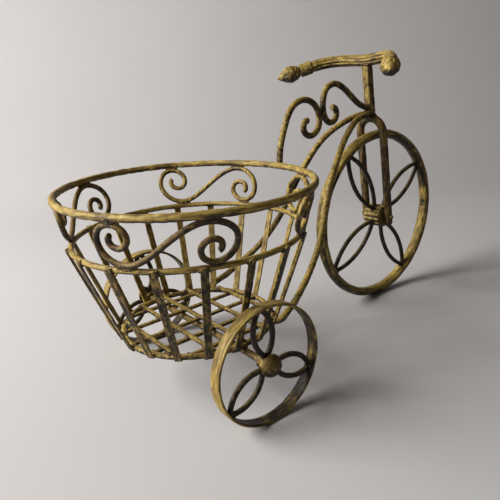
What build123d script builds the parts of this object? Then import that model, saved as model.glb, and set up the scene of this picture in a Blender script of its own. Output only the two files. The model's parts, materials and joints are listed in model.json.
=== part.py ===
from build123d import *
import os
from math import asin, cos, degrees, radians, sin, tan

# A wrought-iron planter in the shape of a tricycle: a slatted basket between two
# small rear wheels, joined by bent rods to a large front wheel with a handlebar.
# +X points forward, +Y to the left and +Z up. The origin is on the ground, under
# the middle of the overall length. Lengths are in millimetres, angles in degrees.

# Overall
wheel_to_basket = 48.0  # from the basket's top ring forward to the front wheel
weld_sink = 0.3  # how far two welded pieces bite into each other before they are trimmed
running_clearance = 0.05  # radial gap between an axle and the wheel that turns on it
side_play = 0.4  # gap along an axle between a wheel's hub and what holds it

# Front wheel
front_wheel_diameter = 180.0
front_rim_thickness = 9.6
front_rim_width = 12.6
front_hub_diameter = 23.5
front_flute_count = 14
front_flute_diameter = 2.4
front_axle_diameter = 5.0
front_petal_count = 4
front_petal_first_angle = 33.0
front_petal_bulge = 11.0
front_petal_wire = 4.8

# Rear wheels
rear_wheel_diameter = 92.0
rear_wheel_gap = 0.3  # from the slats to the inner edge of a rim, at the wheel's top
rear_rim_width = 10.2
rear_rim_thickness = 2.4
rear_hub_diameter = 12.0
rear_hub_length = 5.0
rear_axle_diameter = 6.0
rear_petal_count = 3
rear_petal_first_angle = 95.0
rear_petal_bulge = 8.5
rear_petal_wire = 4.5
cap_diameter = 18.0
cap_rise = 8.0
cap_bore_depth = 4.0
collar_diameter = 11.0
collar_length = 4.0

# Fork, stem and handlebar
fork_rod = 8.4
fork_leg_spacing = 28.6
fork_rake = 6.0
fork_crown_gap = 8.8  # from the front wheel to the underside of the crown
fork_leg_overrun = 6.0
axle_head_stand_out = 1.2
axle_head_radius = 1.0
stem_width = 8.0
stem_length = 55.4  # from the middle of the crown to the middle of the handlebar
stem_corner_radius = 0.8
handlebar_rod = 11.2
handlebar_tip_span = 110.0
handlebar_sweep_back = 36.0
handlebar_tip_drop = 5.0
handlebar_tip_run_out = 2.0  # straight bar left between the grip collar and the bend
handlebar_tip_yaw = 143.0
handlebar_tip_pitch = 14.0
grip_bead_thickness = 0.9
grip_bead_length = 4.0
grip_bead_count = 3
finial_length = 25.0
finial_diameter = 17.5
finial_neck_step = 0.4  # how far the bar's end stands proud of the finial's neck

# Basket
top_ring_half_length = 94.0
top_ring_half_width = 109.0
ring_spacing = 37.2  # from the middle of the hoop up to the middle of the top ring
top_ring_rod = 6.0
hoop_half_length = 88.4
hoop_half_width = 94.0
hoop_height = 128.5
hoop_rod = 4.8
floor_ring_half_length = 61.0
floor_ring_half_width = 63.0
floor_ring_rod = 5.0
slat_count = 18
slat_first_angle = 3.0
slat_width = 6.0
slat_thickness = 1.8
slat_belly = 0.5
slat_top_overrun = 3.0
slat_bottom_overrun = 1.0
slat_corner_radius = 2.4
floor_bar_edge = 13.0  # from the floor ring's nearer side to the outermost bar
floor_bar_count = 5
floor_bar_width = 3.4
floor_bar_height = 3.0

# Scrolls between the basket's top ring and hoop
scroll_rod = 4.6
scroll_reach = 66.0  # along the wall, between the middles of its two curls
scroll_quarter_shrink = 0.76  # a curl's radius after each quarter turn
scroll_curl_stretch = 1.15
scroll_curl_eighths = 11  # a curl's length, in eighths of a turn
scroll_middles = {"rear": 227.7, "front": 318.7}

# Frame rods and seat scrolls
frame_rod = 6.2
frame_rod_lift = 0.9  # from the top of the fork's crown up to the middle of each rod's end
frame_rod_slat_gap = 0.3
frame_rod_bend_run = 4.0  # from the corner at each rod's lower end to where its bend stops
frame_rod_set_out = (-1.0, 0.1, -0.12)
frame_rod_slats_passed = 2  # slats on the front left that lie ahead of each rod's weld
seat_scroll_rod = 6.0
rear_seat_weld_drop = 4.0  # from the middle of the top ring down to the rear scroll's end
seat_meeting_share = 0.447  # where the two seat scrolls touch, between the basket and the stem
seat_meeting_rise = 1.5  # of that place above the front scroll's weld

# Values that follow from the sizes above
front_wheel_radius = front_wheel_diameter / 2
rear_wheel_radius = rear_wheel_diameter / 2
top_ring_length = 2 * top_ring_half_length + top_ring_rod
overall_length = top_ring_length + wheel_to_basket + front_wheel_diameter
front_axle_x = overall_length / 2 - front_wheel_radius
basket_x = (top_ring_length - overall_length) / 2
rear_axle_x = basket_x
front_axle_middle = Vector(front_axle_x, 0, front_wheel_radius)
floor_ring_height = rear_wheel_radius + (rear_axle_diameter + floor_ring_rod) / 2 - weld_sink
top_ring_height = hoop_height + ring_spacing
basket_flare = (hoop_half_width - floor_ring_half_width) / (hoop_height - floor_ring_height)
slat_face = (floor_ring_rod / 2 - weld_sink + slat_belly + slat_thickness) * (1 + basket_flare**2) ** 0.5
basket_side = floor_ring_half_width + basket_flare * (rear_wheel_diameter - floor_ring_height) + slat_face
rear_wheel_y = basket_side + rear_wheel_gap + rear_rim_width / 2
fork_crown_height = front_wheel_radius + fork_crown_gap + fork_rod / 2
handlebar_height = front_wheel_radius + (fork_crown_height + stem_length) * cos(radians(fork_rake))
handlebar_tip_length = grip_bead_length * grip_bead_count + handlebar_tip_run_out
fork_plane = Plane(
    origin=front_axle_middle,
    x_dir=(0, 1, 0),
    z_dir=(cos(radians(fork_rake)), 0, sin(radians(fork_rake))),
)
front_axle_line = Axis(front_axle_middle, (0, 1, 0))
rear_axle_line = Axis((rear_axle_x, 0, rear_wheel_radius), (0, 1, 0))

os.makedirs("parts", exist_ok=True)


def rake_x(height):
    """X of the raked steering line at a height."""
    return front_axle_x - (height - front_wheel_radius) * tan(radians(fork_rake))


def mirrored(piece):
    """The left-hand twin of a right-hand piece, or the other way round."""
    with BuildPart() as twin:
        mirror(piece.part, about=Plane.XZ)
    return twin


def rod_along(points, diameter):
    """A round rod swept along a smooth curve through the points."""
    with BuildPart() as rod:
        with BuildLine() as path:
            Spline(*points)
        with BuildSketch(Plane(origin=path.line @ 0, z_dir=path.line % 0)):
            Circle(diameter / 2)
        sweep()
    return rod


def trimmed(piece, *cutters):
    """A piece with the places it is welded to cut out of it, so that it only touches them."""
    with BuildPart() as result:
        add(piece.part)
        for cutter in cutters:
            add(cutter.part, mode=Mode.SUBTRACT)
    return result


def petal(middle, angle, inner_radius, outer_radius, bulge, wire):
    """A leaf of two bent wires that meet at the hub and at the rim."""
    direction = (cos(radians(angle)), 0, sin(radians(angle)))
    petal_plane = Plane(origin=middle, x_dir=direction, z_dir=(0, -1, 0))
    middle_radius = (inner_radius + outer_radius) / 2
    with BuildPart() as leaf:
        for side in (bulge, -bulge):
            with BuildLine(petal_plane) as path:
                ThreePointArc((inner_radius, 0), (middle_radius, side), (outer_radius, 0))
            with BuildSketch(Plane(origin=path.line @ 0, z_dir=path.line % 0)):
                Circle(wire / 2)
            sweep()
    return leaf


# ---- Front wheel: rim, fluted hub and petals ----
with BuildPart() as front_rim:
    with BuildSketch(Plane.XY.offset(front_wheel_radius)):
        with Locations((front_axle_x + front_wheel_radius - front_rim_thickness / 2, 0)):
            Ellipse(front_rim_thickness / 2, front_rim_width / 2)
    revolve(axis=front_axle_line)

front_hub_length = fork_leg_spacing - fork_rod - 2 * side_play
hub_plane = Plane(origin=front_axle_middle, x_dir=(1, 0, 0), z_dir=(0, -1, 0))
with BuildPart() as front_hub:
    with BuildSketch(hub_plane):
        Circle(front_hub_diameter / 2)
        with PolarLocations(front_hub_diameter / 2, front_flute_count):
            Circle(front_flute_diameter / 2, mode=Mode.SUBTRACT)
        Circle(front_axle_diameter / 2 + running_clearance, mode=Mode.SUBTRACT)
    extrude(amount=front_hub_length / 2, both=True)

front_rim.part.label = "front_rim"
export_step(front_rim.part, "parts/front_rim.step")
front_hub.part.label = "front_hub"
export_step(front_hub.part, "parts/front_hub.step")

front_petal_inner = front_hub_diameter / 2 - front_flute_diameter
front_petal_outer = front_wheel_radius - front_rim_thickness + weld_sink + front_petal_wire / 2
for number in range(front_petal_count):
    front_petal = trimmed(
        petal(
            front_axle_middle,
            front_petal_first_angle + number * 360 / front_petal_count,
            front_petal_inner,
            front_petal_outer,
            front_petal_bulge,
            front_petal_wire,
        ),
        front_rim,
        front_hub,
    )
    front_petal.part.label = f"front_petal_{number + 1}"
    export_step(front_petal.part, f"parts/front_petal_{number + 1}.step")


# ---- Rear wheels: band rim, bush and petals, turning on the rear axle ----
def rear_rim_at(side):
    """The flat band that runs on the ground, on the given side (1 left, -1 right)."""
    with BuildPart() as band:
        with BuildSketch(Plane.XY.offset(rear_wheel_radius)):
            with Locations((rear_axle_x + rear_wheel_radius - rear_rim_thickness / 2, side * rear_wheel_y)):
                RectangleRounded(rear_rim_thickness, rear_rim_width, rear_rim_thickness / 3)
        revolve(axis=rear_axle_line)
    return band


def rear_hub_at(side):
    """The bush that turns on the axle."""
    with BuildPart() as bush:
        with BuildSketch(Plane.XZ.offset(-side * rear_wheel_y)):
            with Locations((rear_axle_x, rear_wheel_radius)):
                Circle(rear_hub_diameter / 2)
                Circle(rear_axle_diameter / 2 + running_clearance, mode=Mode.SUBTRACT)
        extrude(amount=rear_hub_length / 2, both=True)
    return bush


def axle_ring(inner_y, length, outer_diameter, side):
    """A ring fixed on the rear axle, from inner_y outwards."""
    with BuildPart() as ring:
        with BuildSketch(Plane.XZ.offset(-side * (inner_y + length / 2))):
            with Locations((rear_axle_x, rear_wheel_radius)):
                Circle(outer_diameter / 2)
                Circle(rear_axle_diameter / 2, mode=Mode.SUBTRACT)
        extrude(amount=length / 2, both=True)
    return ring


def axle_cap(side):
    """The domed cap on the end of the axle, with a blind hole for the axle."""
    base = side * (rear_wheel_y + rear_hub_length / 2 + side_play)
    bore = rear_axle_diameter / 2
    eighth_turn = sin(radians(45))
    with BuildPart() as cap:
        with BuildSketch(Plane.XY.offset(rear_wheel_radius)):
            with BuildLine():
                Line((rear_axle_x, base + side * cap_bore_depth), (rear_axle_x, base + side * cap_rise))
                ThreePointArc(
                    (rear_axle_x, base + side * cap_rise),
                    (rear_axle_x + cap_diameter / 2 * eighth_turn, base + side * cap_rise * eighth_turn),
                    (rear_axle_x + cap_diameter / 2, base),
                )
                Polyline(
                    (rear_axle_x + cap_diameter / 2, base),
                    (rear_axle_x + bore, base),
                    (rear_axle_x + bore, base + side * cap_bore_depth),
                    (rear_axle_x, base + side * cap_bore_depth),
                )
            make_face()
        revolve(axis=rear_axle_line)
    return cap


rear_petal_inner = rear_hub_diameter / 2 - weld_sink
rear_petal_outer = rear_wheel_radius - rear_rim_thickness + weld_sink
for side_name, side in (("left", 1), ("right", -1)):
    wheel_middle = Vector(rear_axle_x, side * rear_wheel_y, rear_wheel_radius)
    rear_rim = rear_rim_at(side)
    rear_rim.part.label = f"rear_rim_{side_name}"
    export_step(rear_rim.part, f"parts/rear_rim_{side_name}.step")
    rear_hub = rear_hub_at(side)
    rear_hub.part.label = f"rear_hub_{side_name}"
    export_step(rear_hub.part, f"parts/rear_hub_{side_name}.step")
    for number in range(rear_petal_count):
        rear_petal = trimmed(
            petal(
                wheel_middle,
                rear_petal_first_angle + number * 360 / rear_petal_count,
                rear_petal_inner,
                rear_petal_outer,
                rear_petal_bulge,
                rear_petal_wire,
            ),
            rear_rim,
            rear_hub,
        )
        rear_petal.part.label = f"rear_petal_{side_name}_{number + 1}"
        export_step(rear_petal.part, f"parts/rear_petal_{side_name}_{number + 1}.step")
    rear_cap = axle_cap(side)
    rear_cap.part.label = f"rear_cap_{side_name}"
    export_step(rear_cap.part, f"parts/rear_cap_{side_name}.step")
    collar_inner_y = rear_wheel_y - rear_hub_length / 2 - side_play - collar_length
    rear_collar = axle_ring(collar_inner_y, collar_length, collar_diameter, side)
    rear_collar.part.label = f"rear_collar_{side_name}"
    export_step(rear_collar.part, f"parts/rear_collar_{side_name}.step")

rear_axle_half_length = rear_wheel_y + rear_hub_length / 2 + side_play + cap_bore_depth
with BuildPart() as rear_axle:
    with BuildSketch(Plane.XZ):
        with Locations((rear_axle_x, rear_wheel_radius)):
            Circle(rear_axle_diameter / 2)
    extrude(amount=rear_axle_half_length, both=True)
rear_axle.part.label = "rear_axle"
export_step(rear_axle.part, "parts/rear_axle.step")

# ---- Front axle, fork, stem and handlebar ----
front_axle_half_length = fork_leg_spacing / 2 + fork_rod / 2 + axle_head_stand_out
with BuildPart() as front_axle:
    with BuildSketch(hub_plane):
        Circle(front_axle_diameter / 2)
    extrude(amount=front_axle_half_length, both=True)
    fillet(front_axle.edges().filter_by(GeomType.CIRCLE), axle_head_radius)
front_axle.part.label = "front_axle"
export_step(front_axle.part, "parts/front_axle.step")

leg_y = fork_leg_spacing / 2
crown_start = fork_crown_height - leg_y
with BuildPart() as fork:
    with BuildLine(fork_plane) as fork_path:
        Line((-leg_y, -fork_leg_overrun), (-leg_y, crown_start))
        ThreePointArc((-leg_y, crown_start), (0, fork_crown_height), (leg_y, crown_start))
        Line((leg_y, crown_start), (leg_y, -fork_leg_overrun))
    with BuildSketch(Plane(origin=fork_path.line @ 0, z_dir=fork_path.line % 0)):
        Circle(fork_rod / 2)
    sweep()
    with Locations(fork_path.line @ 0, fork_path.line @ 1):
        Sphere(fork_rod / 2)
    with BuildSketch(hub_plane):
        Circle(front_axle_diameter / 2)
    extrude(amount=front_axle_half_length, both=True, mode=Mode.SUBTRACT)
fork.part.label = "fork"
export_step(fork.part, "parts/fork.step")

handlebar_middle = Vector(rake_x(handlebar_height), 0, handlebar_height)
tip_direction = Vector(
    cos(radians(handlebar_tip_yaw)) * cos(radians(handlebar_tip_pitch)),
    -sin(radians(handlebar_tip_yaw)) * cos(radians(handlebar_tip_pitch)),
    -sin(radians(handlebar_tip_pitch)),
)
right_tip = handlebar_middle + Vector(-handlebar_sweep_back, -handlebar_tip_span / 2, -handlebar_tip_drop)
right_bend = right_tip - tip_direction * handlebar_tip_length
left_tip = Vector(right_tip.X, -right_tip.Y, right_tip.Z)
left_bend = Vector(right_bend.X, -right_bend.Y, right_bend.Z)
left_direction = Vector(tip_direction.X, -tip_direction.Y, tip_direction.Z)
with BuildPart() as handlebar:
    with BuildLine() as bar_path:
        Line(right_tip, right_bend)
        Spline(
            right_bend,
            handlebar_middle,
            left_bend,
            tangents=(tip_direction * -1, left_direction),
        )
        Line(left_bend, left_tip)
    with BuildSketch(Plane(origin=right_tip, z_dir=tip_direction * -1)):
        Circle(handlebar_rod / 2)
    sweep()
handlebar.part.label = "handlebar"
export_step(handlebar.part, "parts/handlebar.step")

# The finial's outline as shares of its length and diameter, from the neck to the point.
finial_outline = ((0.12, 0.38), (0.36, 0.5), (0.72, 0.31), (1, 0))
finial_neck = handlebar_rod / 2 - finial_neck_step
tip_plane = Plane(origin=right_tip, x_dir=tip_direction, z_dir=tip_direction.cross(Vector(0, 0, 1)))
with BuildPart() as finial_right:
    with BuildSketch(tip_plane):
        with BuildLine():
            Line((0, 0), (0, finial_neck))
            Spline(
                (0, finial_neck),
                *[(finial_length * along, finial_diameter * out) for along, out in finial_outline],
            )
            Line((finial_length, 0), (0, 0))
        make_face()
    revolve(axis=Axis(right_tip, tip_direction))
finial_right.part.label = "finial_right"
export_step(finial_right.part, "parts/finial_right.step")
finial_left = mirrored(finial_right)
finial_left.part.label = "finial_left"
export_step(finial_left.part, "parts/finial_left.step")

grip_bead_radius = grip_bead_thickness * 0.46
grip_sleeve_thickness = grip_bead_thickness / 2
grip_sleeve_length = grip_bead_length * grip_bead_count - 2 * grip_bead_radius
grip_sleeve_middle = (-grip_bead_length * grip_bead_count / 2, (handlebar_rod + grip_sleeve_thickness) / 2)
with BuildPart() as grip_collar_right:
    with BuildSketch(tip_plane):
        for bead in range(grip_bead_count):
            with Locations((-grip_bead_length * (bead + 0.5), (handlebar_rod + grip_bead_thickness) / 2)):
                RectangleRounded(grip_bead_length, grip_bead_thickness, grip_bead_radius)
        with Locations(grip_sleeve_middle):
            Rectangle(grip_sleeve_length, grip_sleeve_thickness)
    revolve(axis=Axis(right_tip, tip_direction))
grip_collar_right.part.label = "grip_collar_right"
export_step(grip_collar_right.part, "parts/grip_collar_right.step")
grip_collar_left = mirrored(grip_collar_right)
grip_collar_left.part.label = "grip_collar_left"
export_step(grip_collar_left.part, "parts/grip_collar_left.step")

stem_foot = fork_plane.from_local_coords((0, fork_crown_height, 0))
with BuildPart() as stem_bar:
    with BuildSketch(Plane(origin=stem_foot, z_dir=fork_plane.y_dir)):
        Rectangle(stem_width, stem_width)
    extrude(amount=stem_length)
    fillet(stem_bar.edges().filter_by(lambda edge: edge.length > stem_length / 2), stem_corner_radius)
stem = trimmed(stem_bar, fork, handlebar)
stem.part.label = "stem"
export_step(stem.part, "parts/stem.step")


# ---- Basket rings ----
def oval_ring(half_length, half_width, height, rod):
    """An oval hoop of round rod, level, around the basket's middle."""
    with BuildPart() as ring:
        with BuildLine(Plane(origin=(basket_x, 0, height))) as oval:
            EllipticalCenterArc((0, 0), half_length, half_width, start_angle=0, arc_size=360)
        with BuildSketch(Plane(origin=oval.line @ 0, z_dir=oval.line % 0)):
            Circle(rod / 2)
        sweep()
    return ring


basket_top_ring = oval_ring(top_ring_half_length, top_ring_half_width, top_ring_height, top_ring_rod)
basket_top_ring.part.label = "basket_top_ring"
export_step(basket_top_ring.part, "parts/basket_top_ring.step")
basket_hoop = oval_ring(hoop_half_length, hoop_half_width, hoop_height, hoop_rod)
basket_hoop.part.label = "basket_hoop"
export_step(basket_hoop.part, "parts/basket_hoop.step")
basket_floor_ring = trimmed(
    oval_ring(floor_ring_half_length, floor_ring_half_width, floor_ring_height, floor_ring_rod),
    rear_axle,
)
basket_floor_ring.part.label = "basket_floor_ring"
export_step(basket_floor_ring.part, "parts/basket_floor_ring.step")


# ---- Basket slats, welded outside the hoop and the floor ring ----
def slat_at(angle):
    """A flat strip, slightly bellied, in the upright plane through the two rings at an angle."""
    turn = radians(angle)
    floor_point = Vector(floor_ring_half_length * cos(turn), floor_ring_half_width * sin(turn), 0)
    hoop_point = Vector(hoop_half_length * cos(turn), hoop_half_width * sin(turn), 0)
    outward = hoop_point - floor_point
    slat_plane = Plane(
        origin=Vector(basket_x, 0, floor_ring_height) + floor_point,
        x_dir=outward,
        z_dir=outward.cross(Vector(0, 0, 1)),
    )
    rise = Vector(outward.length, hoop_height - floor_ring_height)
    along = rise.normalized()
    across = Vector(along.Y, -along.X)
    foot = across * (floor_ring_rod / 2 - weld_sink)
    head = rise + across * (hoop_rod / 2 - weld_sink)
    chord = (head - foot).length
    radius = (chord**2 / 4 + slat_belly**2) / (2 * slat_belly)
    along = (head - foot).normalized()
    across = Vector(along.Y, -along.X)
    centre = (foot + head) * 0.5 + across * (slat_belly - radius)
    foot_angle = -degrees(asin((chord / 2 + slat_bottom_overrun) / radius))
    head_angle = degrees(asin((chord / 2 + slat_top_overrun) / radius))

    def on_arc(arc_radius, arc_angle):
        return centre + (across * cos(radians(arc_angle)) + along * sin(radians(arc_angle))) * arc_radius

    inner = [on_arc(radius, arc_angle) for arc_angle in (foot_angle, 0, head_angle)]
    outer = [on_arc(radius + slat_thickness, arc_angle) for arc_angle in (head_angle, 0, foot_angle)]
    with BuildPart() as strip:
        with BuildSketch(slat_plane):
            with BuildLine():
                ThreePointArc(*inner)
                Line(inner[2], outer[0])
                ThreePointArc(*outer)
                Line(outer[2], inner[0])
            make_face()
        extrude(amount=slat_width / 2, both=True)
        top_corners = strip.edges().filter_by(lambda edge: abs(edge.length - slat_thickness) < 0.01)
        fillet(top_corners.sort_by(Axis.Z)[-2:], slat_corner_radius)
    return trimmed(strip, basket_hoop, basket_floor_ring)


basket_slats = []
for number in range(slat_count):
    basket_slat = slat_at(slat_first_angle + number * 360 / slat_count)
    basket_slats.append(basket_slat)
    basket_slat.part.label = f"basket_slat_{number + 1:02d}"
    export_step(basket_slat.part, f"parts/basket_slat_{number + 1:02d}.step")

# ---- Basket floor: long bars inside the ring, cross bars on top of them ----
long_bar_top = floor_ring_height + floor_bar_height / 2
floor_bar_reach = min(floor_ring_half_length, floor_ring_half_width) - floor_bar_edge
floor_bar_spacing = 2 * floor_bar_reach / (floor_bar_count - 1)
bar_offsets = [(number - (floor_bar_count - 1) / 2) * floor_bar_spacing for number in range(floor_bar_count)]
with BuildPart() as long_bar_set:
    for offset_y in bar_offsets:
        half_run = floor_ring_half_length * (1 - (offset_y / floor_ring_half_width) ** 2) ** 0.5
        with BuildSketch(Plane.XY.offset(long_bar_top)):
            with Locations((basket_x, offset_y)):
                Rectangle(2 * half_run, floor_bar_width)
        extrude(amount=-floor_bar_height)
floor_long_bars = trimmed(long_bar_set, basket_floor_ring)
floor_long_bars.part.label = "floor_long_bars"
export_step(floor_long_bars.part, "parts/floor_long_bars.step")

with BuildPart() as cross_bar_set:
    for offset_x in bar_offsets:
        half_run = floor_ring_half_width * (1 - (offset_x / floor_ring_half_length) ** 2) ** 0.5
        with BuildSketch(Plane.XY.offset(long_bar_top)):
            with Locations((basket_x + offset_x, 0)):
                Rectangle(floor_bar_width, 2 * half_run)
        extrude(amount=floor_bar_height)
floor_cross_bars = trimmed(cross_bar_set, basket_floor_ring)
floor_cross_bars.part.label = "floor_cross_bars"
export_step(floor_cross_bars.part, "parts/floor_cross_bars.step")


# ---- Basket scrolls, S-shaped, between the hoop and the top ring ----
scroll_low_gap = (hoop_rod + scroll_rod) / 2 - weld_sink
scroll_high_gap = (top_ring_rod + scroll_rod) / 2 - weld_sink
wall_radius = (hoop_half_length + top_ring_half_width) / 2
scroll_height = top_ring_height - hoop_height - scroll_low_gap - scroll_high_gap


def wall_point(angle, share):
    """A point on the basket's wall: share runs from 0 at the hoop's weld to 1 at the ring's."""
    turn = radians(angle)
    foot = Vector(hoop_half_length * cos(turn), hoop_half_width * sin(turn), hoop_height)
    head = Vector(top_ring_half_length * cos(turn), top_ring_half_width * sin(turn), top_ring_height)
    wall_length = (head - foot).length
    distance = scroll_low_gap + share * (wall_length - scroll_low_gap - scroll_high_gap)
    return Vector(basket_x, 0, 0) + foot + (head - foot) * (distance / wall_length)


def curl_point(eighth):
    """A point of the low curl, unrolled: along the wall and up."""
    widest = scroll_height / (1 + scroll_quarter_shrink**2)
    radius = widest * scroll_quarter_shrink ** (eighth / 2)
    turn = radians(-90 - 45 * eighth)
    return scroll_curl_stretch * radius * cos(turn), widest + radius * sin(turn)


def basket_scroll(middle_angle):
    """A right-hand scroll around an angle: a low curl, a rise and a high curl."""
    start_angle = middle_angle - degrees(scroll_reach / 2 / wall_radius)
    low_curl = [curl_point(step) for step in range(scroll_curl_eighths, -1, -1)]
    high_curl = [(scroll_reach - along, scroll_height - up) for along, up in reversed(low_curl)]
    unrolled = low_curl + [(scroll_reach / 2, scroll_height / 2)] + high_curl
    points = [
        wall_point(start_angle + degrees(along / wall_radius), up / scroll_height) for along, up in unrolled
    ]
    return trimmed(rod_along(points, scroll_rod), basket_hoop, basket_top_ring, *basket_slats)


for place, middle_angle in scroll_middles.items():
    scroll_right = basket_scroll(middle_angle)
    scroll_right.part.label = f"basket_scroll_{place}_right"
    export_step(scroll_right.part, f"parts/basket_scroll_{place}_right.step")
    scroll_left = trimmed(mirrored(scroll_right), *basket_slats)
    scroll_left.part.label = f"basket_scroll_{place}_left"
    export_step(scroll_left.part, f"parts/basket_scroll_{place}_left.step")

# ---- Frame rods: a mirrored pair from the stem round the front wheel to the basket's floor ring ----
def along_run(start, end, shares):
    """Points between two places, each given by its shares of the run along X, Y and Z."""
    run = end - start
    return [start + Vector(run.X * share[0], run.Y * share[1], run.Z * share[2]) for share in shares]


crown_top = front_wheel_radius + (fork_crown_height + fork_rod / 2) * cos(radians(fork_rake))
frame_rod_start_height = crown_top + frame_rod_lift
slats_passed_angle = slat_first_angle + frame_rod_slats_passed * 360 / slat_count
beside_slat = (slat_width + frame_rod) / 2 + frame_rod_slat_gap
ring_weld_turn = radians(slats_passed_angle + degrees(beside_slat / floor_ring_half_width))
ring_outward = Vector(cos(ring_weld_turn), sin(ring_weld_turn), 0)
ring_weld = Vector(
    basket_x + floor_ring_half_length * ring_outward.X,
    floor_ring_half_width * ring_outward.Y,
    floor_ring_height,
)
slat_stand_off = (floor_ring_rod + frame_rod) / 2 + slat_thickness + frame_rod_slat_gap
frame_rod_start = Vector(
    rake_x(frame_rod_start_height) - stem_width / 4, frame_rod / 2 + weld_sink, frame_rod_start_height
)
frame_rod_corner = ring_weld + ring_outward * slat_stand_off
frame_rod_bends = along_run(
    frame_rod_start,
    frame_rod_corner,
    (
        (0.112, 0.024, 0.017),
        (0.200, 0.104, 0.058),
        (0.290, 0.204, 0.126),
        (0.390, 0.301, 0.256),
        (0.472, 0.375, 0.393),
        (0.533, 0.451, 0.530),
        (0.601, 0.575, 0.666),
        (0.710, 0.715, 0.803),
        (0.790, 0.816, 0.871),
        (0.880, 0.908, 0.940),
    ),
)
frame_rod_descent = (frame_rod_corner - frame_rod_bends[-1]).normalized()
bend_start = frame_rod_corner - frame_rod_descent * frame_rod_bend_run
bend_end = frame_rod_corner - ring_outward * frame_rod_bend_run
with BuildPart() as frame_rod_whole:
    with BuildLine() as rod_path:
        Spline(
            frame_rod_start,
            *frame_rod_bends,
            bend_start,
            tangents=(frame_rod_set_out, frame_rod_descent),
        )
        TangentArc(bend_start, bend_end, tangent=frame_rod_descent)
        Line(bend_end, ring_weld)
    with BuildSketch(Plane(origin=rod_path.line @ 0, z_dir=rod_path.line % 0)):
        Circle(frame_rod / 2)
    sweep()
frame_rod_left = trimmed(frame_rod_whole, stem, fork, basket_floor_ring, floor_cross_bars)
frame_rod_left.part.label = "frame_rod_left"
export_step(frame_rod_left.part, "parts/frame_rod_left.step")
frame_rod_right = mirrored(frame_rod_left)
frame_rod_right.part.label = "frame_rod_right"
export_step(frame_rod_right.part, "parts/frame_rod_right.step")

# ---- Seat scrolls, in the middle plane: each rises to an arch and hangs down in a curl ----
seat_weld_height = frame_rod_start_height + (frame_rod + seat_scroll_rod) / 2
front_seat_weld = Vector(rake_x(seat_weld_height) - stem_width / 4, 0, seat_weld_height)
rear_seat_weld = Vector(
    basket_x + top_ring_half_length + (top_ring_rod + seat_scroll_rod) / 2 - weld_sink,
    0,
    top_ring_height - rear_seat_weld_drop,
)
seat_meeting = Vector(
    rear_seat_weld.X + seat_meeting_share * (front_seat_weld.X - rear_seat_weld.X),
    0,
    seat_weld_height + seat_meeting_rise,
)


def seat_scroll(weld, rise_shares, curl_offsets):
    """A scroll that rises from its weld, then curls through offsets from the meeting place."""
    curl = [seat_meeting + Vector(along, 0, up) for along, up in curl_offsets]
    rise = along_run(weld, curl[0], [(along, 0, up) for along, up in rise_shares])
    return rod_along([weld, *rise, *curl], seat_scroll_rod)


seat_scroll_rear = trimmed(
    seat_scroll(
        rear_seat_weld,
        ((0.114, 0.400), (0.294, 0.668), (0.549, 0.901)),
        (
            (-21.0, 12.5),
            (-8.0, 7.0),
            (-2.5, -8.5),
            (-8.0, -17.5),
            (-16.0, -19.5),
            (-22.5, -14.5),
            (-22.0, -8.0),
            (-17.0, -6.0),
        ),
    ),
    basket_top_ring,
)
seat_scroll_rear.part.label = "seat_scroll_rear"
export_step(seat_scroll_rear.part, "parts/seat_scroll_rear.step")

seat_scroll_front = trimmed(
    seat_scroll(
        front_seat_weld,
        ((0.251, 0.120), (0.511, 0.460), (0.771, 0.840)),
        (
            (19.0, 23.5),
            (7.5, 19.5),
            (2.8, 7.0),
            (4.5, -4.5),
            (11.0, -10.5),
            (18.5, -8.0),
            (20.0, -0.5),
            (14.5, 3.0),
        ),
    ),
    stem,
    seat_scroll_rear,
)
seat_scroll_front.part.label = "seat_scroll_front"
export_step(seat_scroll_front.part, "parts/seat_scroll_front.step")
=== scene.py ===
import json
import math

import bmesh
import bpy
import numpy as np
from mathutils import Matrix, Vector
from mathutils.bvhtree import BVHTree
from mathutils.noise import noise


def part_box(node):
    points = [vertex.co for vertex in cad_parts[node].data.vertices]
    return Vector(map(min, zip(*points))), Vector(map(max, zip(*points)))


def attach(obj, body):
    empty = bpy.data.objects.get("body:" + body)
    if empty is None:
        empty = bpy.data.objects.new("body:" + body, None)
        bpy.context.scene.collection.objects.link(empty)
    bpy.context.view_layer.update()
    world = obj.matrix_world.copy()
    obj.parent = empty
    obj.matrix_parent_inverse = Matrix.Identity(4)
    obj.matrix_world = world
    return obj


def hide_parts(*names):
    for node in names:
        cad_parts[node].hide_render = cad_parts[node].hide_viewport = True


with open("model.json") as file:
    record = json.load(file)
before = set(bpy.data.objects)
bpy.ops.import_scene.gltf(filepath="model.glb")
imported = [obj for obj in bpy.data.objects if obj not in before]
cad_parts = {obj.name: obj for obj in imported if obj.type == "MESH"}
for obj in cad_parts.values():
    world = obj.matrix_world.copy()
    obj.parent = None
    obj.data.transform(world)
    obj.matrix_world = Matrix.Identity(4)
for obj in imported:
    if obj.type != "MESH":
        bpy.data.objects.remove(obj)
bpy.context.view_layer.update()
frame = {"nodes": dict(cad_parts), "record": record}

NODES = frame["nodes"]
BODY_OF = {
    node: body
    for body, members in frame["record"]["behaviour"]["bodies"].items()
    for node in members
}
MM = 0.001


def middle(node):
    """The middle of a CAD node's box."""
    low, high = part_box(node)
    return (low + high) / 2


FRONT_AXLE = middle("front_hub")
REAR_AXLE = middle("rear_axle")
BASKET = middle("basket_top_ring")


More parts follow.
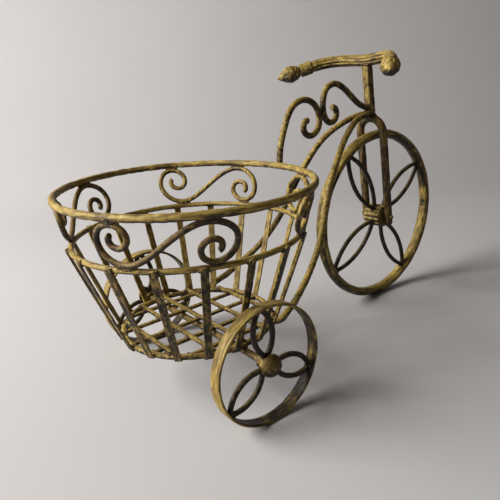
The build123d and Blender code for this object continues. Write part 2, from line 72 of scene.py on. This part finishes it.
# ---- Materials ----
class Tree:
    """A short way to write a material's nodes."""

    def __init__(self, name):
        self.material = bpy.data.materials.new(name)
        self.material.use_nodes = True
        self.nodes = self.material.node_tree.nodes
        self.links = self.material.node_tree.links
        self.nodes.clear()
        self.shader = self.nodes.new("ShaderNodeBsdfPrincipled")
        output = self.nodes.new("ShaderNodeOutputMaterial")
        self.links.new(self.shader.outputs["BSDF"], output.inputs["Surface"])
        coordinates = self.nodes.new("ShaderNodeTexCoord")
        self.place = coordinates.outputs["Object"]
        self.facing = coordinates.outputs["Normal"]

    def feed(self, socket, value):
        if isinstance(value, bpy.types.NodeSocket):
            self.links.new(value, socket)
        elif isinstance(value, tuple) and len(value) == 3 and socket.type == "RGBA":
            socket.default_value = (*value, 1.0)
        else:
            socket.default_value = value

    def noise(self, scale, detail=4.0, roughness=0.55, distortion=0.0, vector=None):
        node = self.nodes.new("ShaderNodeTexNoise")
        self.feed(node.inputs["Vector"], vector or self.place)
        settings = {"Scale": scale, "Detail": detail, "Roughness": roughness, "Distortion": distortion}
        for name, value in settings.items():
            self.feed(node.inputs[name], value)
        return node.outputs["Fac"]

    def ramp(self, value, stops):
        node = self.nodes.new("ShaderNodeValToRGB")
        self.feed(node.inputs["Fac"], value)
        elements = node.color_ramp.elements
        while len(elements) < len(stops):
            elements.new(0.5)
        for element, (position, colour) in zip(elements, stops):
            element.position = position
            rgb = colour if isinstance(colour, tuple) else (colour,) * 3
            element.color = (*rgb, 1.0)
        return node.outputs["Color"]

    def math(self, operation, first, second=0.0, clamp=False):
        node = self.nodes.new("ShaderNodeMath")
        node.operation = operation
        node.use_clamp = clamp
        self.feed(node.inputs[0], first)
        self.feed(node.inputs[1], second)
        return node.outputs["Value"]

    def total(self, *terms):
        """The sum of (value, weight) pairs."""
        result = 0.0
        for value, weight in terms:
            result = self.math("ADD", self.math("MULTIPLY", value, weight), result)
        return result

    def mix(self, factor, first, second):
        node = self.nodes.new("ShaderNodeMix")
        node.data_type = "RGBA"
        colours = [socket for socket in node.inputs if socket.type == "RGBA"]
        self.feed(node.inputs["Factor"], factor)
        self.feed(colours[0], first)
        self.feed(colours[1], second)
        return next(socket for socket in node.outputs if socket.type == "RGBA")

    def vector(self, x, y, z):
        node = self.nodes.new("ShaderNodeCombineXYZ")
        for name, value in (("X", x), ("Y", y), ("Z", z)):
            self.feed(node.inputs[name], value)
        return node.outputs["Vector"]

    def split(self, vector=None):
        """X, Y and Z of a vector, or of the place on the object."""
        node = self.nodes.new("ShaderNodeSeparateXYZ")
        self.feed(node.inputs["Vector"], vector or self.place)
        return node.outputs["X"], node.outputs["Y"], node.outputs["Z"]

    def outward(self, axle):
        """How far a surface faces away from an axle: 1 on the tread, -1 inside the rim."""
        x, y, z = self.split()
        spoke = self.nodes.new("ShaderNodeVectorMath")
        spoke.operation = "NORMALIZE"
        across, up = self.math("SUBTRACT", x, axle.x), self.math("SUBTRACT", z, axle.z)
        self.feed(spoke.inputs[0], self.vector(across, 0.0, up))
        product = self.nodes.new("ShaderNodeVectorMath")
        product.operation = "DOT_PRODUCT"
        self.feed(product.inputs[0], spoke.outputs["Vector"])
        self.feed(product.inputs[1], self.facing)
        return product.outputs["Value"]

    def around(self, across, up, along, centre, ring_radius):
        """Coordinates that follow a ring: squeezed arc length, distance from the centre and along."""
        across = self.math("SUBTRACT", across, centre[0])
        up = self.math("SUBTRACT", up, centre[1])
        turn = self.math("ARCTAN2", up, across)
        square = self.total((self.math("POWER", across, 2.0), 1.0), (self.math("POWER", up, 2.0), 1.0))
        arc = self.math("MULTIPLY", turn, GRAIN_SQUEEZE * ring_radius)
        return self.vector(arc, self.math("SQRT", square), along)

    def bump(self, height, strength, distance):
        node = self.nodes.new("ShaderNodeBump")
        node.inputs["Strength"].default_value = strength
        node.inputs["Distance"].default_value = distance
        self.links.new(height, node.inputs["Height"])
        return node.outputs["Normal"]


GRAIN_SQUEEZE = 0.16
# Middle radii in metres, which turn an angle round a ring into a length along it.
FRONT_WHEEL_RADIUS = 0.085
REAR_WHEEL_RADIUS = 0.044
BASKET_RADIUS = 0.1


def grain(tree, direction):
    """Coordinates stretched the way the brush and the hammer went."""
    x, y, z = tree.split()
    if direction == "front wheel":
        return tree.around(x, z, y, (FRONT_AXLE.x, FRONT_AXLE.z), FRONT_WHEEL_RADIUS)
    if direction == "rear wheel":
        return tree.around(x, z, y, (REAR_AXLE.x, REAR_AXLE.z), REAR_WHEEL_RADIUS)
    if direction == "basket ring":
        return tree.around(x, y, z, (BASKET.x, BASKET.y), BASKET_RADIUS)
    if direction == "y":
        y = tree.math("MULTIPLY", y, GRAIN_SQUEEZE)
    if direction == "z":
        z = tree.math("MULTIPLY", z, GRAIN_SQUEEZE)
    return tree.vector(x, y, z)


OCHRE_LIGHT = (0.62, 0.46, 0.14)
OCHRE = (0.37, 0.255, 0.056)
OCHRE_SHADE = (0.14, 0.085, 0.018)
BROWN = (0.072, 0.040, 0.013)
RUST = (0.110, 0.040, 0.014)
IRON = (0.008, 0.006, 0.0035)
IRON_BROWN = (0.028, 0.018, 0.008)


def worn_paint(name, direction, cover, tones=(OCHRE_SHADE, OCHRE, OCHRE_LIGHT)):
    """Ochre paint brushed over near-black iron; undersides get thinner paint and painted shade, and
    faces inside the rear rims are darker.

    cover says how much of the iron it hides.
    """
    tree = Tree(name)
    along = grain(tree, direction)
    iron = tree.ramp(tree.noise(170, 5), [(0.38, IRON), (0.60, IRON_BROWN), (0.74, RUST)])

    tone = tree.total((tree.noise(400, 6, 0.65, vector=along), 0.65), (tree.noise(55, 3), 0.35))
    paint = tree.ramp(tone, list(zip((0.38, 0.53, 0.68), tones)))
    streaks = tree.ramp(tree.noise(520, 6, 0.7, 0.3, along), [(0.49, 0.0), (0.64, 1.0)])
    paint = tree.mix(tree.math("MULTIPLY", streaks, 0.85), paint, BROWN)
    rusty = tree.ramp(tree.noise(48, 4, 0.7, 0.6), [(0.58, 0.0), (0.74, 1.0)])
    paint = tree.mix(tree.math("MULTIPLY", rusty, 0.6), paint, RUST)

    surface = tree.nodes.new("ShaderNodeNewGeometry")
    recess = tree.ramp(surface.outputs["Pointiness"], [(0.44, 1.0), (0.51, 0.0)])
    # Undersides are darkened towards bare iron, partly as paint brushed thinner from above and partly
    # as painted shade; in the rear wheels, faces inside the rim are darkened instead.
    if direction == "rear wheel":
        underside_painted_shade_and_inner_rim = tree.math("MULTIPLY", tree.outward(REAR_AXLE), -0.115)
    else:
        underside_painted_shade_and_inner_rim = tree.math("MULTIPLY", tree.math("ADD", tree.split(tree.facing)[2], -0.15), -0.16)
    worn = tree.total(
        (tree.noise(75, 5, 0.6, 0.5), 0.35),
        (tree.noise(330, 6, 0.7, vector=along), 0.50),
        (tree.noise(1500, 3, 0.6), 0.15),
    )
    edge = 0.5 + 0.16 * (cover - 0.5)
    bare = tree.ramp(tree.math("ADD", worn, underside_painted_shade_and_inner_rim), [(edge - 0.03, 0.0), (edge + 0.075, 1.0)])
    bare = tree.math("ADD", bare, tree.math("MULTIPLY", recess, 0.75), clamp=True)

    tree.feed(tree.shader.inputs["Base Color"], tree.mix(bare, paint, iron))
    rough = tree.total((bare, -0.08), (tree.noise(700, 4), 0.24))
    tree.feed(tree.shader.inputs["Roughness"], tree.math("ADD", rough, 0.42, clamp=True))
    tree.shader.inputs["Specular IOR Level"].default_value = 0.28
    brushed = tree.noise(520, 5, 0.65, vector=along)
    height = tree.total((bare, -0.35), (brushed, 0.9), (tree.noise(1700, 3), 0.3))
    tree.feed(tree.shader.inputs["Normal"], tree.bump(height, 0.7, 0.00045))
    return tree.material


PETAL_TONES = ((0.05, 0.034, 0.014), (0.12, 0.085, 0.032), (0.2, 0.15, 0.06))
FORK_TONES = ((0.10, 0.055, 0.014), (0.22, 0.14, 0.036), (0.40, 0.28, 0.08))
WELD_TONES = ((0.09, 0.045, 0.016), (0.17, 0.10, 0.035), (0.28, 0.18, 0.065))
PAINTS = {
    "front_wheel": worn_paint("front_wheel_paint", "front wheel", 0.60),
    "rear_wheel": worn_paint("rear_wheel_paint", "rear wheel", 0.66),
    "ring": worn_paint("ring_paint", "basket ring", 0.85),
    "bar": worn_paint("bar_paint", "y", 0.75),
    "upright": worn_paint("upright_paint", "z", 0.66),
    "fork": worn_paint("fork_paint", "z", 0.50, FORK_TONES),
    "cap": worn_paint("cap_paint", "none", 0.50, FORK_TONES),
    "rod": worn_paint("rod_paint", "none", 0.45),
    "bud": worn_paint("bud_paint", "none", 0.72),
    "floor": worn_paint("floor_paint", "none", 0.40),
    "petal": worn_paint("petal_patina", "none", 0.0, PETAL_TONES),
    "weld": worn_paint("weld_paint", "none", 0.3, WELD_TONES),
}
PAINT_OF = (
    ("petal", "petal"),
    ("front_", "front_wheel"),
    ("rear_rim", "rear_wheel"),
    ("rear_hub", "rear_wheel"),
    ("rear_", "cap"),
    ("basket_slat", "upright"),
    ("basket_scroll", "rod"),
    ("basket_floor", "floor"),
    ("basket_", "ring"),
    ("floor_", "floor"),
    ("handlebar", "bar"),
    ("finial", "bud"),
    ("grip", "bar"),
    ("stem", "upright"),
    ("fork", "fork"),
)


def paint_for(node):
    """The paint of a CAD node, by the first word of PAINT_OF that is in its name."""
    return PAINTS[next((paint for start, paint in PAINT_OF if start in node), "rod")]


# ---- Forged surfaces ----
def clouds(name, size):
    """A cloudy texture whose lumps are about size metres wide."""
    texture = bpy.data.textures.new(name, "CLOUDS")
    texture.noise_scale = size
    return texture


DENTS = clouds("dents", 6 * MM)
HAMMER = clouds("hammer", 2.4 * MM)
HAMMER_DEPTH = 0.16
# The grey of a texture that leaves the surface where it is: most of it is darker and cuts in.
LEVEL_GREY = 0.8
# A skin's voxel and the depth of its dents, in millimetres.
FINE = (0.5, 0.3)
COARSE = (0.65, 0.42)
THIN = ("slat", "floor_", "rear_rim", "rear_hub", "grip", "collar", "scroll", "petal")


def remesh(piece, voxel):
    """An even skin of small faces, voxel millimetres across."""
    modifier = piece.modifiers.new("skin", "REMESH")
    modifier.mode = "VOXEL"
    modifier.voxel_size = voxel * MM
    modifier.use_smooth_shade = True


def soften(piece):
    """Rounds the edges of a skin a little."""
    modifier = piece.modifiers.new("soften", "SMOOTH")
    modifier.factor = 0.5
    modifier.iterations = 2


def forge(piece, voxel, dent):
    """Soft edges and hammer marks, cut mostly inwards so that the piece hardly grows."""
    remesh(piece, voxel)
    soften(piece)
    for texture, depth in ((DENTS, dent), (HAMMER, HAMMER_DEPTH)):
        displace = piece.modifiers.new(texture.name, "DISPLACE")
        displace.texture = texture
        displace.texture_coords = "LOCAL"
        displace.strength = depth * MM
        displace.mid_level = LEVEL_GREY


def skin(node, voxel):
    """A dense, even copy of a CAD node's surface."""
    copy = bpy.data.objects.new(node + "_skin", NODES[node].data)
    bpy.context.scene.collection.objects.link(copy)
    remesh(copy, voxel)
    bpy.context.view_layer.update()
    mesh = bpy.data.meshes.new_from_object(copy.evaluated_get(bpy.context.evaluated_depsgraph_get()))
    bpy.data.objects.remove(copy)
    return mesh


def points_of(mesh):
    """A mesh's points, one row each."""
    points = np.empty(len(mesh.vertices) * 3, np.float32)
    mesh.vertices.foreach_get("co", points)
    return points.reshape(-1, 3).astype(float)


def normals_of(mesh):
    """A mesh's point normals, one row each."""
    normals = np.empty(len(mesh.vertices) * 3, np.float32)
    mesh.vertices.foreach_get("normal", normals)
    return normals.reshape(-1, 3).astype(float)


def carve(node, name, voxel, depth_at):
    """Replaces a CAD node with its own surface, cut in by depth_at(points), in metres."""
    mesh = skin(node, voxel)
    points = points_of(mesh)
    points -= normals_of(mesh) * np.clip(depth_at(points), 0, None)[:, None]
    mesh.vertices.foreach_set("co", points.astype(np.float32).ravel())
    mesh.update()
    piece = bpy.data.objects.new(name, mesh)
    bpy.context.scene.collection.objects.link(piece)
    mesh.materials.clear()
    mesh.materials.append(paint_for(node))
    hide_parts(node)
    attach(piece, BODY_OF[node])


def lumps(points, size, seed=0.0):
    """Smooth noise from 0 to 1 at each point."""
    shift = Vector((seed, seed, seed))
    return np.array([0.5 + 0.5 * noise(Vector(point) / size + shift) for point in points])


def bar_line(slices=26, least=8):
    """Middles of the bent handlebar, read from its CAD surface slice by slice along Y."""
    points = points_of(NODES["handlebar"].data)
    y = points[:, 1]
    edges = np.linspace(y.min(), y.max(), slices + 1)
    parts = [points[(y >= start) & (y <= stop)] for start, stop in zip(edges, edges[1:])]
    return np.array([(part.min(0) + part.max(0)) / 2 for part in parts if len(part) > least])


BAR_LINE = bar_line()


FLUTES = 9
RING_FACETS = 56
SEAM_TURN = -0.08
SEAM_WIDTH = 0.012
SCALE_ROWS = 4.2
SCALES_ROUND = 8


def handlebar_depth(points):
    """Flutes along the bar and a few hammered flats."""
    middle_x, middle_z = [np.interp(points[:, 1], BAR_LINE[:, 1], BAR_LINE[:, axis]) for axis in (0, 2)]
    slope = np.interp(points[:, 1], BAR_LINE[:, 1], np.gradient(BAR_LINE[:, 0], BAR_LINE[:, 1]))
    across = (points[:, 0] - middle_x) / np.sqrt(1 + slope**2)
    turn = np.arctan2(points[:, 2] - middle_z, across)
    ripple = 0.5 + 0.5 * np.cos(FLUTES * turn + 3 * (lumps(points, 0.02) - 0.5))
    flute = np.clip(ripple - 0.45, 0, 1) / 0.55
    return (0.7 * flute + 0.2 * lumps(points, 0.006, 7.0)) * MM


def ring_depth(points):
    """Hammered facets round the basket's top ring, one every 11 mm or so."""
    turn = np.arctan2(points[:, 1] - BASKET.y, points[:, 0] - BASKET.x)
    beat = 0.5 + 0.5 * np.cos(RING_FACETS * turn + 2.5 * np.sin(5 * turn) + 1.5 * np.sin(17 * turn))
    return (0.25 * beat**2 + 0.6 * lumps(points, 0.005) * lumps(points, 0.012, 4.0)) * MM


def front_rim_depth(points):
    """Hammer marks along the rim, and the ground-down seam where its ends were welded."""
    turn = np.arctan2(points[:, 2] - FRONT_AXLE.z, points[:, 0] - FRONT_AXLE.x)
    seam = np.exp(-(((turn - SEAM_TURN) / SEAM_WIDTH) ** 2))
    radius = np.hypot(points[:, 2] - FRONT_AXLE.z, points[:, 0] - FRONT_AXLE.x)
    stretched = np.stack([turn * FRONT_WHEEL_RADIUS * 0.35, radius, points[:, 1]], 1)
    return (0.9 * lumps(stretched, 0.0035) * lumps(points, 0.011, 2.0) + 0.5 * seam + 0.05) * MM


def bud_depth(points, base, tip):
    """Rows of pointed scales, overlapping towards the tip."""
    along = np.array(tip - base)
    length = np.linalg.norm(along)
    along /= length
    side = np.cross(along, (0, 0, 1))
    side /= np.linalg.norm(side)
    up = np.cross(side, along)
    offset = points - np.array(base)
    row = np.clip(offset @ along / length, 0, 1) * SCALE_ROWS
    level = np.floor(row)
    turn = np.arctan2(offset @ up, offset @ side) / (2 * math.pi) * SCALES_ROUND + 0.5 * (level % 2)
    beside = np.abs(turn - np.floor(turn) - 0.5) * 2
    run = row - level
    edge = np.clip((0.55 + 0.45 * (1 - beside**2) - run) * 6, 0, 1)
    scale = edge * (0.3 + 0.7 * run) * (1 - 0.35 * beside**2)
    fade = np.clip(1.15 - row / SCALE_ROWS, 0.15, 1)
    return (0.95 * (1 - scale) * fade + 0.25 * lumps(points, 0.003)) * MM


# ---- Welds: small rough beads where pieces of one body touch ----
NO_BEAD = ("front_axle", "rear_cap", "rear_collar", "grip", "finial")
CONTACT_VOXEL = 0.55
BEAD_REACH = 0.42 * MM
BEAD_SPACING = 0.95 * MM
BEAD_VOXEL = 0.36
BEAD_RADIUS = 1.1
BEAD_SPREAD = 0.5
STEM_BEAD_SCALE = 1.25


def beads():
    """One lumpy bead object for each kind of joint and body, where the surfaces really touch."""
    nodes = [node for node in NODES if not any(word in node for word in NO_BEAD)]
    surface = {node: points_of(skin(node, CONTACT_VOXEL)) for node in nodes}
    graph = bpy.context.evaluated_depsgraph_get()
    trees = {node: BVHTree.FromObject(NODES[node], graph) for node in nodes}
    groups = {}
    for index, first in enumerate(nodes):
        for second in nodes[index + 1:]:
            if BODY_OF[first] != BODY_OF[second]:
                continue
            low = np.maximum(surface[first].min(0), surface[second].min(0)) - BEAD_REACH
            high = np.minimum(surface[first].max(0), surface[second].max(0)) + BEAD_REACH
            if (low > high).any():
                continue
            near = surface[first][((surface[first] > low) & (surface[first] < high)).all(1)]
            other = trees[second]
            touching = [p for p in near if other.find_nearest(Vector(p), BEAD_REACH)[0] is not None]
            if touching:
                group = groups.setdefault((BODY_OF[first], bead_kind(first + second)), [])
                group.extend(thinned(touching, BEAD_SPACING))
    for (body, kind), places in groups.items():
        bead_object(f"weld_{body}_{kind}", places, body)


def bead_kind(pair):
    """The kind of joint: the first of these words that is in either name."""
    for word in ("slat", "petal", "scroll", "bars", "rod", "stem"):
        if word in pair:
            return word
    return "other"


def thinned(points, spacing):
    """The points, less those closer than the spacing to one that is kept."""
    kept = []
    for point in points:
        if all(np.sum((point - other) ** 2) > spacing**2 for other in kept):
            kept.append(point)
    return kept


def bead_object(name, places, body):
    """Many small overlapping drops, melted into one skin."""
    build = bmesh.new()
    for place in places:
        ripple = noise(Vector(place) * 700)
        scale = STEM_BEAD_SCALE if "stem" in name else 1.0
        size = (BEAD_RADIUS + BEAD_SPREAD * ripple) * scale * MM
        at_place = Matrix.Translation(Vector(place))
        bmesh.ops.create_icosphere(build, subdivisions=1, radius=size, matrix=at_place)
    mesh = bpy.data.meshes.new(name)
    build.to_mesh(mesh)
    build.free()
    piece = bpy.data.objects.new(name, mesh)
    bpy.context.scene.collection.objects.link(piece)
    mesh.materials.append(PAINTS["petal" if "petal" in name else "weld"])
    remesh(piece, BEAD_VOXEL)
    soften(piece)
    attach(piece, body)


for node, piece in NODES.items():
    piece.data.materials.clear()
    piece.data.materials.append(paint_for(node))

CARVED = ("handlebar", "basket_top_ring", "front_rim", "finial_left", "finial_right")
beads()
carve("handlebar", "fluted_bar", voxel=0.5, depth_at=handlebar_depth)
carve("basket_top_ring", "hammered_ring", voxel=0.55, depth_at=ring_depth)
carve("front_rim", "hammered_rim", voxel=0.7, depth_at=front_rim_depth)
for side, end, inner in (("right", BAR_LINE[0], BAR_LINE[2]), ("left", BAR_LINE[-1], BAR_LINE[-3])):
    outward = (end - inner) / np.linalg.norm(end - inner)
    reaches = (points_of(NODES["finial_" + side].data) - end) @ outward
    base, tip = end + outward * reaches.min(), end + outward * reaches.max()
    carve(
        "finial_" + side,
        "scaled_bud_" + side,
        voxel=0.42,
        depth_at=lambda points: bud_depth(points, base, tip),
    )
for node, piece in NODES.items():
    if node not in CARVED:
        thin = any(word in node for word in THIN)
        forge(piece, *(FINE if thin else COARSE))


# ---- Floor, backdrop, light and camera ----
def backdrop(near, bend_start, bend, rise, half_width):
    """A pale sheet: a level floor that curves up into a wall behind the object.

    Its own +X points at the wall.
    """
    steps = 20
    profile = [(-near, 0.0), (bend_start, 0.0)]
    for step in range(1, steps + 1):
        turn = math.radians(90 * step / steps)
        profile.append((bend_start + bend * math.sin(turn), bend * (1 - math.cos(turn))))
    profile.append((bend_start + bend, rise))
    verts = [(away, side, up) for away, up in profile for side in (-half_width, half_width)]
    faces = [(2 * row, 2 * row + 1, 2 * row + 3, 2 * row + 2) for row in range(len(profile) - 1)]
    mesh = bpy.data.meshes.new("backdrop")
    mesh.from_pydata(verts, [], faces)
    for polygon in mesh.polygons:
        polygon.use_smooth = True
    sheet = bpy.data.objects.new("backdrop", mesh)
    bpy.context.scene.collection.objects.link(sheet)
    tree = Tree("backdrop")
    pale = tree.ramp(tree.noise(3), [(0.3, (0.50, 0.48, 0.468)), (0.7, (0.52, 0.50, 0.488))])
    tree.feed(tree.shader.inputs["Base Color"], pale)
    tree.shader.inputs["Roughness"].default_value = 0.7
    tree.shader.inputs["Specular IOR Level"].default_value = 0.15
    mesh.materials.append(tree.material)
    return sheet


CAMERA_PLACE = Vector((-0.3114, -0.3425, 0.2374))
CAMERA_YAW = math.radians(53.08)
CAMERA_PITCH = math.radians(-18.22)
CAMERA_ROLL = math.radians(-4.64)
CAMERA_LENS = 36.93

forward = Vector(
    (
        math.cos(CAMERA_PITCH) * math.cos(CAMERA_YAW),
        math.cos(CAMERA_PITCH) * math.sin(CAMERA_YAW),
        math.sin(CAMERA_PITCH),
    )
)
level_right = Vector((math.sin(CAMERA_YAW), -math.cos(CAMERA_YAW), 0))
level_up = level_right.cross(forward)
right = math.cos(CAMERA_ROLL) * level_right + math.sin(CAMERA_ROLL) * level_up
up = math.cos(CAMERA_ROLL) * level_up - math.sin(CAMERA_ROLL) * level_right

camera_data = bpy.data.cameras.new("camera")
camera_data.sensor_width = 36.0
camera_data.lens = CAMERA_LENS
camera_data.clip_start = 0.01
camera = bpy.data.objects.new("camera", camera_data)
bpy.context.scene.collection.objects.link(camera)
camera_turn = Matrix((right, up, -forward)).transposed().to_4x4()
camera.matrix_world = Matrix.Translation(CAMERA_PLACE) @ camera_turn
bpy.context.scene.camera = camera

floor = backdrop(near=1.6, bend_start=0.55, bend=0.6, rise=1.8, half_width=1.5)
floor.matrix_world = Matrix.Rotation(CAMERA_YAW, 4, "Z")


LIGHT_AIM = Vector((0.0, 0.0, 0.1))
level_ahead = Vector((forward.x, forward.y, 0)).normalized()


def soft_light(name, left, ahead, height, size, power, colour):
    """A rectangular soft box, placed as seen from the camera, that looks at LIGHT_AIM."""
    data = bpy.data.lights.new(name, "AREA")
    data.shape = "RECTANGLE"
    data.size, data.size_y = size
    data.energy = power
    data.color = colour
    light = bpy.data.objects.new(name, data)
    place = -level_right * left + level_ahead * ahead + Vector((0, 0, height))
    turn = (place - LIGHT_AIM).to_track_quat("Z", "Y").to_matrix().to_4x4()
    light.matrix_world = Matrix.Translation(place) @ turn
    bpy.context.scene.collection.objects.link(light)


soft_light("window", 1.4, -0.25, 1.0, (1.1, 1.1), 54, (1.0, 0.99, 0.98))
soft_light("room", -0.3, -0.9, 1.6, (1.6, 1.6), 0.7, (1.0, 0.98, 0.95))

# A dim room that looks as pale as the sheet where the sheet ends.
world = bpy.data.worlds.new("studio")
world.use_nodes = True
room = world.node_tree.nodes["Background"]
room.inputs["Color"].default_value = (0.95, 0.96, 1.0, 1.0)
seen = world.node_tree.nodes.new("ShaderNodeLightPath").outputs["Is Camera Ray"]
strength = world.node_tree.nodes.new("ShaderNodeMapRange")
strength.inputs["To Min"].default_value = 0.03
strength.inputs["To Max"].default_value = 0.5
world.node_tree.links.new(seen, strength.inputs["Value"])
world.node_tree.links.new(strength.outputs["Result"], room.inputs["Strength"])
bpy.context.scene.world = world
bpy.context.scene.view_settings.view_transform = "Standard"
